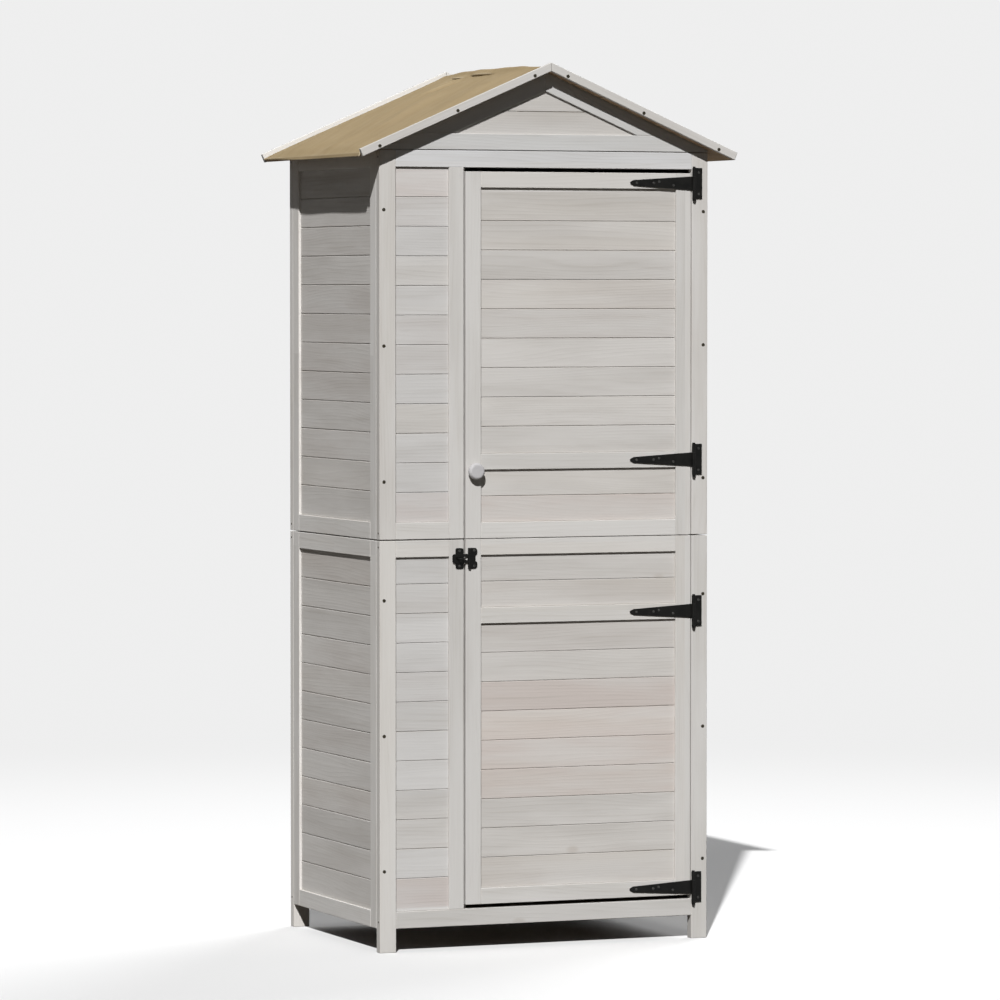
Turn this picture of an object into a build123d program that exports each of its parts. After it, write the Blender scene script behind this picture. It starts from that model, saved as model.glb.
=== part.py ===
from build123d import *
import math
import os

# A wooden tool shed, in millimetres. The origin is on the ground under the middle of the roof.
# X runs to the right, Y runs from the front to the back and Z runs up.

# Body
BODY_WIDTH = 720
BODY_DEPTH = 520
FOOT_HEIGHT = 48
HALF_FRAME_HEIGHT = 782

# Frame timber
FRAME_THICK = 19
LEG_WIDTH = 35
RAIL_HEIGHT = 34
SIDE_STILE_WIDTH = 34
FRAME_SEAM_GAP = 2.2
EASED_EDGE = 0.8

# Tongue-and-groove boards
BOARD_PITCH = 59.3
BOARD_THICK = 9
BOARD_RECESS = 5
BOARD_GAP = 1.2
FRONT_BOARD_GAP = 0.6
BOARD_CHAMFER = 0.8
TONGUE_THICK = 3
TONGUE_HEIGHT = 4
GROOVE_CLEARANCE = 0.2
SIDE_FIRST_BOARD_LOWER = 60.5
SIDE_FIRST_BOARD_UPPER = 62.5
FRONT_FIRST_BOARD_LOWER = 66.4
FRONT_FIRST_BOARD_UPPER = 60.5

# Narrow fixed panel and door opening, measured from the left outer face
FIXED_BOARD_WIDTH = 115
JAMB_WIDTH = 32
DOOR_GAP_LATCH_SIDE = 4
DOOR_GAP_HINGE_SIDE = 2
DOOR_GAP_BOTTOM = 8
DOOR_GAP_TOP = 8
DOOR_SEAM_GAP = 1.2

# Door
DOOR_THICK = 18
DOOR_STILE_WIDTH = 33.5
DOOR_RAIL_HEIGHT = 32.5
DOOR_SHORT_FIELD = 106
DOOR_FIRST_BOARD_LOWER = 62
DOOR_FIRST_BOARD_UPPER = 55
DOOR_BATTEN_WIDTH = 20
DOOR_BATTEN_THICK = 12
DOOR_BATTEN_LENGTH = 240
DOOR_STOP_WIDTH = 32
DOOR_STOP_OVERLAP = 7
DOOR_STOP_THICK = 12

# Gables and roof
ROOF_ANGLE = 23.3
SIDE_OVERHANG = 53
FRONT_OVERHANG = 32
REAR_OVERHANG = 28
EAVE_RISE = 5.5
BARGE_HEIGHT = 16
REAR_BARGE_HEIGHT = 18.5
BARGE_THICK = 9
BARGE_MITRE_GAP = 1
DECK_THICK = 7
DECK_BOARDS = 7
FELT_THICK = 2
FELT_END_GAP = 0.8
FELT_LIP = 1
RAKE_WIDTH = 36
GABLE_BOARD_HEIGHT = 47
GABLE_SEAM_GAP = 1.4
RIDGE_BEAM_WIDTH = 19
RIDGE_BEAM_HEIGHT = 42
EAVE_BATTEN_WIDTH = 35

# Floor and joining cleats
BEARER_WIDTH = 19
BEARER_HEIGHT = 22
FLOOR_THICK = 10
FLOOR_BOARDS = 6
CLEAT_SIDE = 16
CLEAT_LENGTH = 240

# Wood screws
SCREW_HEAD_RADIUS = 3.6
SCREW_SHANK_RADIUS = 1.8
SCREW_LENGTH = 45
SCREW_PROUD = 0.35
SCREW_SINK = 2.4
SMALL_HEAD_RADIUS = 2.7
SMALL_SHANK_RADIUS = 1.3
SMALL_SCREW_LENGTH = 15
SMALL_HEAD_PROUD = 1.3
POINT_LENGTH = 4
LEG_SCREW_COUNT = 3
LEG_SCREW_FROM_BOTTOM = 116
LEG_SCREW_FROM_TOP = 120
BARGE_SCREW_COUNT = 3
BARGE_SCREW_FROM_RIDGE = 36
BARGE_SCREW_FROM_EAVE = 42
BARGE_SCREW_LENGTH = 30
BARGE_SCREW_RISE = 5.1
RAIL_SCREW_HEAD_RADIUS = 2.2
RAIL_SCREW_LENGTH = 52
RAIL_SCREW_DEPTH = 8
RAIL_SCREW_IN_RAIL = 14

# T-hinges
HINGE_PLATE_THICK = 2
KNUCKLE_RADIUS = 4
HINGE_PIN_RADIUS = 1.9
HINGE_CLEARANCE = 0.1
KNUCKLE_GAP = 0.3
PIN_INTO_GAP = 3
LEAF_HEIGHT = 63
LEAF_REACH = 19
STRAP_LENGTH = 141
STRAP_ROOT_HEIGHT = 28
STRAP_TIP_HEIGHT = 12
STRAP_NOSE = 8
STRAP_NOSE_HEIGHT = 4
PIN_HEAD_RADIUS = 3
PIN_HEAD_HEIGHT = 2.5
PIN_TAIL_HEIGHT = 4.5
LEAF_SCREW_SPREAD = 22
STRAP_SCREWS_FROM_TIP = ((14, 0), (52, 0), (64, 2.6), (96, -4.5))
TOP_HINGE_DROP = 4

# Turned knob
KNOB_RADIUS = 16.8
KNOB_LENGTH = 17
KNOB_ROUNDING = 5.6
KNOB_NECK_RADIUS = 8.5
KNOB_NECK_LENGTH = 3.5
KNOB_ABOVE_SEAM = 136.5
KNOB_FROM_STILE_MIDDLE = 2.5
KNOB_SCREW_BITE = 11

# Hasp
HASP_BELOW_SEAM = 39
HASP_PLATE_THICK = 1.5
HASP_PLATE_HEIGHT = 42
HASP_PLATE_WIDTH = 20
HASP_CORNER = 4
HASP_WAIST = 4
HASP_PIN_INSET = 7
HASP_PIN_RADIUS = 1.2
HASP_STRAP_HEIGHT = 18
HASP_STRAP_THICK = 1.6
HASP_STRAP_CLEARANCE = 0.5
HASP_TIP_LENGTH = 7
HASP_SLOT_CLEARANCE = 2.1
HASP_SLOT_SIDE_CLEARANCE = 1
HASP_STAPLE_WIDTH = 17
STAPLE_WIRE_RADIUS = 2
STAPLE_LOOP_RADIUS = 5
STAPLE_LEG_LENGTH = 7
HASP_SCREW_SPREAD = 15.5

# Turns about the vertical of a screw that points to the back
TO_FRONT = 180
TO_RIGHT = -90
TO_LEFT = 90

# Planes and heights that follow from the sizes above
LEFT = -BODY_WIDTH / 2
RIGHT = BODY_WIDTH / 2
ROOF_DEPTH = BODY_DEPTH + FRONT_OVERHANG + REAR_OVERHANG
FRONT = -ROOF_DEPTH / 2 + FRONT_OVERHANG
REAR = FRONT + BODY_DEPTH
FRONT_INNER = FRONT + FRAME_THICK
REAR_INNER = REAR - FRAME_THICK
SEAM = FOOT_HEIGHT + HALF_FRAME_HEIGHT
FRAME_TOP = SEAM + HALF_FRAME_HEIGHT
LOWER_TOP = SEAM - FRAME_SEAM_GAP / 2
UPPER_BOTTOM = SEAM + FRAME_SEAM_GAP / 2
HALVES = {"lower": (FOOT_HEIGHT, LOWER_TOP), "upper": (UPPER_BOTTOM, FRAME_TOP)}

JAMB_LEFT = LEFT + LEG_WIDTH + FIXED_BOARD_WIDTH
JAMB_RIGHT = JAMB_LEFT + JAMB_WIDTH
DOOR_LEFT = JAMB_RIGHT + DOOR_GAP_LATCH_SIDE
DOOR_RIGHT = RIGHT - LEG_WIDTH - DOOR_GAP_HINGE_SIDE
DOOR_BOTTOM = FOOT_HEIGHT + RAIL_HEIGHT + DOOR_GAP_BOTTOM
DOOR_TOP = FRAME_TOP - RAIL_HEIGHT - DOOR_GAP_TOP
DOOR_BACK = FRONT + DOOR_THICK
DOOR_FIELD_LEFT = DOOR_LEFT + DOOR_STILE_WIDTH
DOOR_FIELD_RIGHT = DOOR_RIGHT - DOOR_STILE_WIDTH
DOOR_HALVES = {
    "lower": (DOOR_BOTTOM, SEAM - DOOR_SEAM_GAP / 2),
    "upper": (SEAM + DOOR_SEAM_GAP / 2, DOOR_TOP),
}

SLOPE = math.tan(math.radians(ROOF_ANGLE))
ALONG = math.cos(math.radians(ROOF_ANGLE))
DOWN = math.sin(math.radians(ROOF_ANGLE))
DECK_APEX = FRAME_TOP + EAVE_RISE + RIGHT * SLOPE
SLOPE_LENGTH = (RIGHT + SIDE_OVERHANG - BARGE_HEIGHT * DOWN) / ALONG
DECK_FRONT = -ROOF_DEPTH / 2 + BARGE_THICK
DECK_REAR = ROOF_DEPTH / 2 - BARGE_THICK

HINGE_X = RIGHT - LEG_WIDTH + PIN_INTO_GAP
HINGE_Y = FRONT - KNUCKLE_RADIUS - KNUCKLE_GAP
KNOB_HEIGHT = SEAM + KNOB_ABOVE_SEAM
HASP_HEIGHT = SEAM - HASP_BELOW_SEAM
HASP_X = DOOR_LEFT + HASP_PIN_INSET
HASP_Y = FRONT - HASP_PLATE_THICK - HASP_STRAP_CLEARANCE - HASP_STRAP_THICK / 2
HASP_KNUCKLE_RADIUS = FRONT - HASP_Y - KNUCKLE_GAP
STAPLE_X = JAMB_RIGHT - HASP_PLATE_THICK - HASP_STAPLE_WIDTH / 2


def block(x0, x1, y0, y1, z0, z1):
    """A plain box between the given planes."""
    return Pos((x0 + x1) / 2, (y0 + y1) / 2, (z0 + z1) / 2) * Box(x1 - x0, y1 - y0, z1 - z0)


def eased(piece):
    """A piece of planed timber with all its edges eased."""
    return chamfer(piece.edges(), EASED_EDGE)


def timber(x0, x1, y0, y1, z0, z1):
    """A length of planed frame timber."""
    return eased(block(x0, x1, y0, y1, z0, z1))


def prism_along_y(outline, y0, y1):
    """An outline of (x, z) points carried from one depth to another."""
    face = make_face(Polyline(*[(x, y0, z) for x, z in outline], close=True))
    return extrude(face, amount=y1 - y0, dir=(0, 1, 0))


def prism_along_x(outline, x0, x1):
    """An outline of (y, z) points carried from left to right."""
    face = make_face(Polyline(*[(x0, y, z) for y, z in outline], close=True))
    return extrude(face, amount=x1 - x0, dir=(1, 0, 0))


def upright(radius, x, y, z0, z1):
    """A round bar that stands on end."""
    return Pos(x, y, (z0 + z1) / 2) * Cylinder(radius, z1 - z0)


def save(name, *pieces):
    """Write one named group of separate pieces."""
    shape = pieces[0] if len(pieces) == 1 else Compound(children=list(pieces))
    export_step(shape, "parts/" + name + ".step")


def board_edges(low, high, first):
    """Heights of the joints in a field of boards, its two ends included."""
    count = max(1, round((high - low - first) / BOARD_PITCH))
    joints = [low + first + i * BOARD_PITCH for i in range(count)]
    return [low] + joints + [high]


def board_outline(low, high, first, last, gap=BOARD_GAP):
    """One board on end: pairs of depth behind its face and height."""
    inner = (BOARD_THICK - TONGUE_THICK) / 2
    outer = inner + TONGUE_THICK
    outline = [(0, low + BOARD_CHAMFER), (BOARD_CHAMFER, low)]
    if not first:
        groove_top = low + TONGUE_HEIGHT + GROOVE_CLEARANCE
        outline += [(inner - GROOVE_CLEARANCE, low), (inner - GROOVE_CLEARANCE, groove_top)]
        outline += [(outer + GROOVE_CLEARANCE, groove_top), (outer + GROOVE_CLEARANCE, low)]
    outline += [(BOARD_THICK, low), (BOARD_THICK, high)]
    face_top = high
    if not last:
        face_top = high - gap
        outline += [(outer, high), (outer, high + TONGUE_HEIGHT)]
        outline += [(inner, high + TONGUE_HEIGHT), (inner, face_top)]
    outline += [(BOARD_CHAMFER, face_top), (0, face_top - BOARD_CHAMFER)]
    return outline


def board_field(low, high, first_height, gap=BOARD_GAP):
    """Outlines of all the boards between two rails."""
    edges = board_edges(low, high, first_height)
    last = len(edges) - 2
    return [board_outline(edges[i], edges[i + 1], i == 0, i == last, gap) for i in range(last + 1)]


def boards_across(outlines, face, inward, x0, x1):
    """Boards that run from left to right behind a front or rear face."""
    return [prism_along_x([(face + inward * d, z) for d, z in o], x0, x1) for o in outlines]


def boards_lengthwise(outlines, face, inward, y0, y1):
    """Boards that run from front to back behind a side face."""
    return [prism_along_y([(face + inward * d, z) for d, z in o], y0, y1) for o in outlines]


def field_between_rails(half):
    """Clear height between the bottom and top rail of one half frame."""
    low, high = HALVES[half]
    return low + RAIL_HEIGHT, high - RAIL_HEIGHT


def build_legs():
    """Eight leg lengths: the lower ones reach the ground."""
    for depth, y0, y1 in (("front", FRONT, FRONT_INNER), ("rear", REAR_INNER, REAR)):
        for side, x0 in (("left", LEFT), ("right", RIGHT - LEG_WIDTH)):
            lower = timber(x0, x0 + LEG_WIDTH, y0, y1, 0, LOWER_TOP)
            upper = timber(x0, x0 + LEG_WIDTH, y0, y1, UPPER_BOTTOM, FRAME_TOP)
            save(depth + "_" + side + "_leg_lower", lower)
            save(depth + "_" + side + "_leg_upper", upper)


def build_front():
    """Front rails, door jamb and the narrow fixed panel."""
    x0 = LEFT + LEG_WIDTH
    x1 = RIGHT - LEG_WIDTH
    bottom = FOOT_HEIGHT + RAIL_HEIGHT
    top = FRAME_TOP - RAIL_HEIGHT
    save("front_bottom_rail", timber(x0, x1, FRONT, FRONT_INNER, FOOT_HEIGHT, bottom))
    save("front_top_rail", timber(x0, x1, FRONT, FRONT_INNER, top, FRAME_TOP))
    save("door_jamb_lower", timber(JAMB_LEFT, JAMB_RIGHT, FRONT, FRONT_INNER, bottom, LOWER_TOP))
    save("door_jamb_upper", timber(JAMB_LEFT, JAMB_RIGHT, FRONT, FRONT_INNER, UPPER_BOTTOM, top))
    under_seam = timber(x0, JAMB_LEFT, FRONT, FRONT_INNER, LOWER_TOP - RAIL_HEIGHT, LOWER_TOP)
    over_seam = timber(x0, JAMB_LEFT, FRONT, FRONT_INNER, UPPER_BOTTOM, UPPER_BOTTOM + RAIL_HEIGHT)
    save("front_panel_rails", under_seam, over_seam)
    starts = {"lower": FRONT_FIRST_BOARD_LOWER, "upper": FRONT_FIRST_BOARD_UPPER}
    for half, first in starts.items():
        low, high = field_between_rails(half)
        field = board_field(low, high, first, FRONT_BOARD_GAP)
        boards = boards_across(field, FRONT + BOARD_RECESS, 1, x0, JAMB_LEFT)
        save("front_panel_boards_" + half, *boards)


def build_sides():
    """Left and right side panels, a lower and an upper one each."""
    stile_front = FRONT_INNER + SIDE_STILE_WIDTH
    stile_rear = REAR_INNER - SIDE_STILE_WIDTH
    starts = {"lower": SIDE_FIRST_BOARD_LOWER, "upper": SIDE_FIRST_BOARD_UPPER}
    for side, face, inward in (("left", LEFT, 1), ("right", RIGHT, -1)):
        x0 = min(face, face + inward * FRAME_THICK)
        x1 = x0 + FRAME_THICK
        for half, first in starts.items():
            bottom, top = HALVES[half]
            low, high = field_between_rails(half)
            frame = [
                timber(x0, x1, FRONT_INNER, stile_front, bottom, top),
                timber(x0, x1, stile_rear, REAR_INNER, bottom, top),
                timber(x0, x1, stile_front, stile_rear, bottom, low),
                timber(x0, x1, stile_front, stile_rear, high, top),
            ]
            field = board_field(low, high, first)
            boards = boards_lengthwise(field, face + inward * BOARD_RECESS, inward, stile_front, stile_rear)
            save(side + "_side_frame_" + half, *frame)
            save(side + "_side_boards_" + half, *boards)


def build_back():
    """Rails and boards between the rear legs."""
    x0 = LEFT + LEG_WIDTH
    x1 = RIGHT - LEG_WIDTH
    starts = {"lower": SIDE_FIRST_BOARD_LOWER, "upper": SIDE_FIRST_BOARD_UPPER}
    rails = []
    for half, first in starts.items():
        bottom, top = HALVES[half]
        low, high = field_between_rails(half)
        rails.append(timber(x0, x1, REAR_INNER, REAR, bottom, low))
        rails.append(timber(x0, x1, REAR_INNER, REAR, high, top))
        boards = boards_across(board_field(low, high, first), REAR - BOARD_RECESS, -1, x0, x1)
        save("back_boards_" + half, *boards)
    save("back_rails", *rails)


def deck_underside(x):
    """Height of the deck's underside above a distance from the middle."""
    return DECK_APEX - abs(x) * SLOPE


def mirrored(outline):
    """The same outline on the other side of the middle."""
    return [(-x, z) for x, z in outline]


def build_gable(name, face, inward):
    """Bottom rail, two rakes and two boards that close one end of the roof space."""
    rail_top = FRAME_TOP + RAIL_HEIGHT
    rake_drop = RAKE_WIDTH / ALONG
    rake_outer = (DECK_APEX - rail_top) / SLOPE
    field_apex = DECK_APEX - rake_drop
    field_half = (field_apex - rail_top) / SLOPE
    corner = deck_underside(RIGHT)
    rail_foot = FRAME_TOP + GABLE_SEAM_GAP
    rail = [(LEFT, rail_foot), (RIGHT, rail_foot), (RIGHT, corner), (rake_outer, rail_top)]
    rail += [(-rake_outer, rail_top), (LEFT, corner)]
    rake = [(0, DECK_APEX), (rake_outer, rail_top), (field_half, rail_top), (0, field_apex)]
    y0 = min(face, face + inward * FRAME_THICK)
    y1 = y0 + FRAME_THICK
    frame = [eased(prism_along_y(outline, y0, y1)) for outline in (rail, rake, mirrored(rake))]
    save(name + "_gable_frame", *frame)
    joint = rail_top + GABLE_BOARD_HEIGHT
    joint_half = (field_apex - joint) / SLOPE
    gap_half = joint_half + BOARD_GAP / SLOPE
    lower = [(-field_half, rail_top), (field_half, rail_top)]
    lower += [(gap_half, joint - BOARD_GAP), (-gap_half, joint - BOARD_GAP)]
    upper = [(-joint_half, joint), (joint_half, joint), (0, field_apex)]
    board_face = face + inward * BOARD_RECESS
    b0 = min(board_face, board_face + inward * BOARD_THICK)
    boards = [prism_along_y(outline, b0, b0 + BOARD_THICK) for outline in (lower, upper)]
    save(name + "_gable_boards", *boards)


def roof_point(side, down, above):
    """A point so far down the slope from the ridge and so far above the deck's underside."""
    return side * (down * ALONG + above * DOWN), DECK_APEX - down * DOWN + above * ALONG


def build_deck(name, side):
    """Boards that run along the ridge, the top one cut to a mitre."""
    length = SLOPE_LENGTH - FELT_THICK
    pitch = length / DECK_BOARDS
    boards = []
    for i in range(DECK_BOARDS):
        at_ridge = i == DECK_BOARDS - 1
        outline = board_outline(i * pitch, (i + 1) * pitch, i == 0, at_ridge)
        if at_ridge:
            top_corner_count = 3
            outline = outline[:-top_corner_count] + [(BOARD_THICK, length + DECK_THICK * SLOPE), (0, length)]
        points = [roof_point(side, length - up, depth * DECK_THICK / BOARD_THICK) for depth, up in outline]
        boards.append(prism_along_y(points, DECK_FRONT, DECK_REAR))
    save("roof_deck_" + name, *boards)


def build_felt():
    """One sheet over both slopes, turned down over the eaves."""
    edge = SLOPE_LENGTH - FELT_THICK
    top = DECK_THICK + FELT_THICK
    right = [
        roof_point(1, -top * SLOPE, top),
        roof_point(1, SLOPE_LENGTH, top),
        roof_point(1, SLOPE_LENGTH, FELT_LIP),
        roof_point(1, edge, FELT_LIP),
        roof_point(1, edge, DECK_THICK),
        roof_point(1, -DECK_THICK * SLOPE, DECK_THICK),
    ]
    left = mirrored(right[1:-1])
    outline = right + left[::-1]
    save("roof_felt", prism_along_y(outline, DECK_FRONT + FELT_END_GAP, DECK_REAR - FELT_END_GAP))


def build_barges(name, y0, height):
    """Two strips that close the ends of the deck, mitred at the ridge."""
    mitre_x = BARGE_MITRE_GAP / 2
    mitre_foot = deck_underside(mitre_x)
    right = [
        (mitre_x, mitre_foot),
        roof_point(1, SLOPE_LENGTH, 0),
        roof_point(1, SLOPE_LENGTH, height),
        (mitre_x, mitre_foot + height / ALONG),
    ]
    strips = [eased(prism_along_y(outline, y0, y0 + BARGE_THICK)) for outline in (right, mirrored(right))]
    save(name + "_barge_boards", *strips)


def build_roof_battens():
    """Ridge beam and the two bevelled battens on the side panels."""
    half = RIDGE_BEAM_WIDTH / 2
    shoulder = deck_underside(half)
    foot = DECK_APEX - RIDGE_BEAM_HEIGHT
    ridge = [(-half, foot), (half, foot), (half, shoulder), (0, DECK_APEX), (-half, shoulder)]
    inner = RIGHT - EAVE_BATTEN_WIDTH
    eave = [
        (inner, FRAME_TOP),
        (RIGHT, FRAME_TOP),
        (RIGHT, deck_underside(RIGHT)),
        (inner, deck_underside(inner)),
    ]
    battens = [prism_along_y(outline, FRONT_INNER, REAR_INNER) for outline in (ridge, eave, mirrored(eave))]
    save("roof_battens", *battens)


def build_floor():
    """Three bearers and the boards that lie on them."""
    inner_left = LEFT + FRAME_THICK
    inner_right = RIGHT - FRAME_THICK
    bearer_top = FOOT_HEIGHT + BEARER_HEIGHT
    starts = (inner_left, -BEARER_WIDTH / 2, inner_right - BEARER_WIDTH)
    bearers = [timber(x, x + BEARER_WIDTH, FRONT_INNER, REAR_INNER, FOOT_HEIGHT, bearer_top) for x in starts]
    save("floor_bearers", *bearers)
    pitch = (REAR_INNER - FRONT_INNER) / FLOOR_BOARDS
    boards = []
    for i in range(FLOOR_BOARDS):
        y0 = FRONT_INNER + i * pitch
        boards.append(timber(inner_left, inner_right, y0, y0 + pitch, bearer_top, bearer_top + FLOOR_THICK))
    save("floor_boards", *boards)


def build_joining_pieces():
    """Corner cleats across the seam and the door stop behind the jamb."""
    z0 = SEAM - CLEAT_LENGTH / 2
    z1 = SEAM + CLEAT_LENGTH / 2
    cleats = []
    for x0 in (LEFT + FRAME_THICK, RIGHT - FRAME_THICK - CLEAT_SIDE):
        for y0 in (FRONT_INNER, REAR_INNER - CLEAT_SIDE):
            cleats.append(timber(x0, x0 + CLEAT_SIDE, y0, y0 + CLEAT_SIDE, z0, z1))
    save("joining_cleats", *cleats)
    stop_right = DOOR_LEFT + DOOR_STOP_OVERLAP
    stop_left = stop_right - DOOR_STOP_WIDTH
    stop_bottom = FOOT_HEIGHT + RAIL_HEIGHT
    stop_top = FRAME_TOP - RAIL_HEIGHT
    stop_back = FRONT_INNER + DOOR_STOP_THICK
    save("door_stop", timber(stop_left, stop_right, FRONT_INNER, stop_back, stop_bottom, stop_top))


def door_rails(half):
    """Bottom and top edges of the three rails of one door half, from the ground up."""
    low, high = DOOR_HALVES[half]
    if half == "upper":
        middle = low + DOOR_RAIL_HEIGHT + DOOR_SHORT_FIELD
    else:
        middle = high - 2 * DOOR_RAIL_HEIGHT - DOOR_SHORT_FIELD
    starts = (low, middle, high - DOOR_RAIL_HEIGHT)
    return [(z, z + DOOR_RAIL_HEIGHT) for z in starts]


def build_door():
    """Two framed halves and the battens that join them into one leaf."""
    for half, (low, high) in DOOR_HALVES.items():
        rails = door_rails(half)
        left_stile = timber(DOOR_LEFT, DOOR_FIELD_LEFT, FRONT, DOOR_BACK, low, high)
        right_stile = timber(DOOR_FIELD_RIGHT, DOOR_RIGHT, FRONT, DOOR_BACK, low, high)
        save("door_stiles_" + half, left_stile, right_stile)
        bars = [timber(DOOR_FIELD_LEFT, DOOR_FIELD_RIGHT, FRONT, DOOR_BACK, z0, z1) for z0, z1 in rails]
        save("door_rails_" + half, *bars)
        fields = []
        for below, above in ((rails[0], rails[1]), (rails[1], rails[2])):
            short = above[0] - below[1] < 2 * DOOR_SHORT_FIELD
            tall_first = DOOR_FIRST_BOARD_UPPER if half == "upper" else DOOR_FIRST_BOARD_LOWER
            first = DOOR_SHORT_FIELD / 2 if short else tall_first
            fields += board_field(below[1], above[0], first, FRONT_BOARD_GAP)
        boards = boards_across(fields, FRONT + BOARD_RECESS, 1, DOOR_FIELD_LEFT, DOOR_FIELD_RIGHT)
        save("door_boards_" + half, *boards)
    z0 = SEAM - DOOR_BATTEN_LENGTH / 2
    z1 = SEAM + DOOR_BATTEN_LENGTH / 2
    batten_back = DOOR_BACK + DOOR_BATTEN_THICK
    starts = (DOOR_FIELD_LEFT - DOOR_BATTEN_WIDTH, DOOR_FIELD_RIGHT)
    battens = [timber(x, x + DOOR_BATTEN_WIDTH, DOOR_BACK, batten_back, z0, z1) for x in starts]
    save("door_battens", *battens)


def screw(head_radius, shank_radius, length, proud, sink):
    """A wood screw that points towards +Y with the face of the wood at zero."""
    rim = head_radius * 0.7
    outline = [(0, -proud), (rim, -proud), (head_radius, -proud * 0.3), (head_radius, 0)]
    outline += [(shank_radius, sink), (shank_radius, length - POINT_LENGTH), (0, length)]
    body = revolve(make_face(Polyline(*outline, close=True)), Axis.Y)
    slot_length = head_radius * 1.1
    slot_width = head_radius * 0.24
    slot_depth = head_radius * 0.3
    recess = Pos(0, -proud, 0) * Box(slot_length, slot_depth, slot_width)
    recess += Pos(0, -proud, 0) * Box(slot_width, slot_depth, slot_length)
    return body - recess


def place(piece, x, y, z, turn=0):
    """A copy of a screw at a point, turned about the vertical to point into the wood."""
    return piece.moved(Location((x, y, z), (0, 0, turn)))


def spread(first, last, count):
    """Evenly spaced places from the first to the last."""
    return [first + (last - first) * i / (count - 1) for i in range(count)]


def leg_into_side_screws():
    """Screws through the legs into the edges of the side panels."""
    long_screw = screw(SCREW_HEAD_RADIUS, SCREW_SHANK_RADIUS, SCREW_LENGTH, SCREW_PROUD, SCREW_SINK)
    inset = FRAME_THICK / 2
    screws = []
    for low, high in HALVES.values():
        for z in spread(low + LEG_SCREW_FROM_BOTTOM, high - LEG_SCREW_FROM_TOP, LEG_SCREW_COUNT):
            for x in (LEFT + inset, RIGHT - inset):
                screws.append(place(long_screw, x, FRONT, z))
                screws.append(place(long_screw, x, REAR, z, TO_FRONT))
    return screws


def leg_into_rail_screws():
    """Thin screws through the outer edges of the legs into the ends of the rails."""
    thin = screw(RAIL_SCREW_HEAD_RADIUS, SMALL_SHANK_RADIUS, RAIL_SCREW_LENGTH, SCREW_PROUD, SCREW_SINK)
    ends = (FOOT_HEIGHT + RAIL_SCREW_IN_RAIL, FRAME_TOP - RAIL_SCREW_IN_RAIL)
    beside_seam = (SEAM - RAIL_SCREW_IN_RAIL, SEAM + RAIL_SCREW_IN_RAIL)
    front_y = FRONT + RAIL_SCREW_DEPTH
    rear_y = REAR - RAIL_SCREW_DEPTH
    screws = [place(thin, LEFT, y, z, TO_RIGHT) for y in (front_y, rear_y) for z in ends + beside_seam]
    screws += [place(thin, RIGHT, front_y, z, TO_LEFT) for z in ends]
    screws += [place(thin, RIGHT, rear_y, z, TO_LEFT) for z in ends + beside_seam]
    return screws


def build_leg_screws():
    """All the screws that go through the legs."""
    save("leg_screws", *leg_into_side_screws(), *leg_into_rail_screws())


def build_barge_screws():
    """Screws through the barge strips into the ends of the deck boards."""
    short_screw = screw(SCREW_HEAD_RADIUS, SCREW_SHANK_RADIUS, BARGE_SCREW_LENGTH, SCREW_PROUD, SCREW_SINK)
    last = RIGHT + SIDE_OVERHANG - BARGE_SCREW_FROM_EAVE
    screws = []
    for side in (-1, 1):
        for offset in spread(BARGE_SCREW_FROM_RIDGE, last, BARGE_SCREW_COUNT):
            x = side * offset
            z = deck_underside(x) + BARGE_SCREW_RISE / ALONG
            screws.append(place(short_screw, x, -ROOF_DEPTH / 2, z))
            screws.append(place(short_screw, x, ROOF_DEPTH / 2, z, TO_FRONT))
    save("barge_screws", *screws)


def hinge_heights():
    """Heights of the four hinges, each on a rail of the door."""
    lower = door_rails("lower")
    upper = door_rails("upper")
    middles = [sum(rail) / 2 for rail in (lower[0], lower[1], upper[1], upper[2])]
    middles[-1] -= TOP_HINGE_DROP
    return middles


def hinge_leaf(z):
    """Plate on the leg with a knuckle at each end."""
    plate_front = FRONT - HINGE_PLATE_THICK
    half = LEAF_HEIGHT / 2
    band = STRAP_ROOT_HEIGHT / 2 + KNUCKLE_GAP
    leaf = block(HINGE_X, HINGE_X + LEAF_REACH, plate_front, FRONT, z - half, z + half)
    leaf += upright(KNUCKLE_RADIUS, HINGE_X, HINGE_Y, z - half, z + half)
    clear = KNUCKLE_RADIUS + 2 * KNUCKLE_GAP
    leaf -= block(HINGE_X - clear, HINGE_X + clear, HINGE_Y - clear, FRONT, z - band, z + band)
    leaf -= upright(HINGE_PIN_RADIUS + HINGE_CLEARANCE, HINGE_X, HINGE_Y, z - half, z + half)
    for spot_x, spot_z in leaf_screw_spots():
        leaf -= screw_hole(spot_x, spot_z, HINGE_PLATE_THICK)
    return leaf


def hinge_strap(z):
    """Tapered strap on the door with the middle knuckle."""
    plate_front = FRONT - HINGE_PLATE_THICK
    root = STRAP_ROOT_HEIGHT / 2
    tip_x = HINGE_X - STRAP_LENGTH
    taper = [
        (DOOR_RIGHT, z - root),
        (DOOR_RIGHT, z + root),
        (tip_x + STRAP_NOSE, z + STRAP_TIP_HEIGHT / 2),
        (tip_x, z + STRAP_NOSE_HEIGHT / 2),
        (tip_x, z - STRAP_NOSE_HEIGHT / 2),
        (tip_x + STRAP_NOSE, z - STRAP_TIP_HEIGHT / 2),
    ]
    strap = prism_along_y(taper, plate_front, FRONT)
    strap += block(DOOR_RIGHT - KNUCKLE_GAP, HINGE_X, plate_front, FRONT - KNUCKLE_GAP, z - root, z + root)
    strap += upright(KNUCKLE_RADIUS, HINGE_X, HINGE_Y, z - root, z + root)
    strap -= upright(HINGE_PIN_RADIUS + HINGE_CLEARANCE, HINGE_X, HINGE_Y, z - root, z + root)
    for spot_x, spot_z in strap_screw_spots():
        strap -= screw_hole(spot_x, spot_z, HINGE_PLATE_THICK)
    return strap


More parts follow.
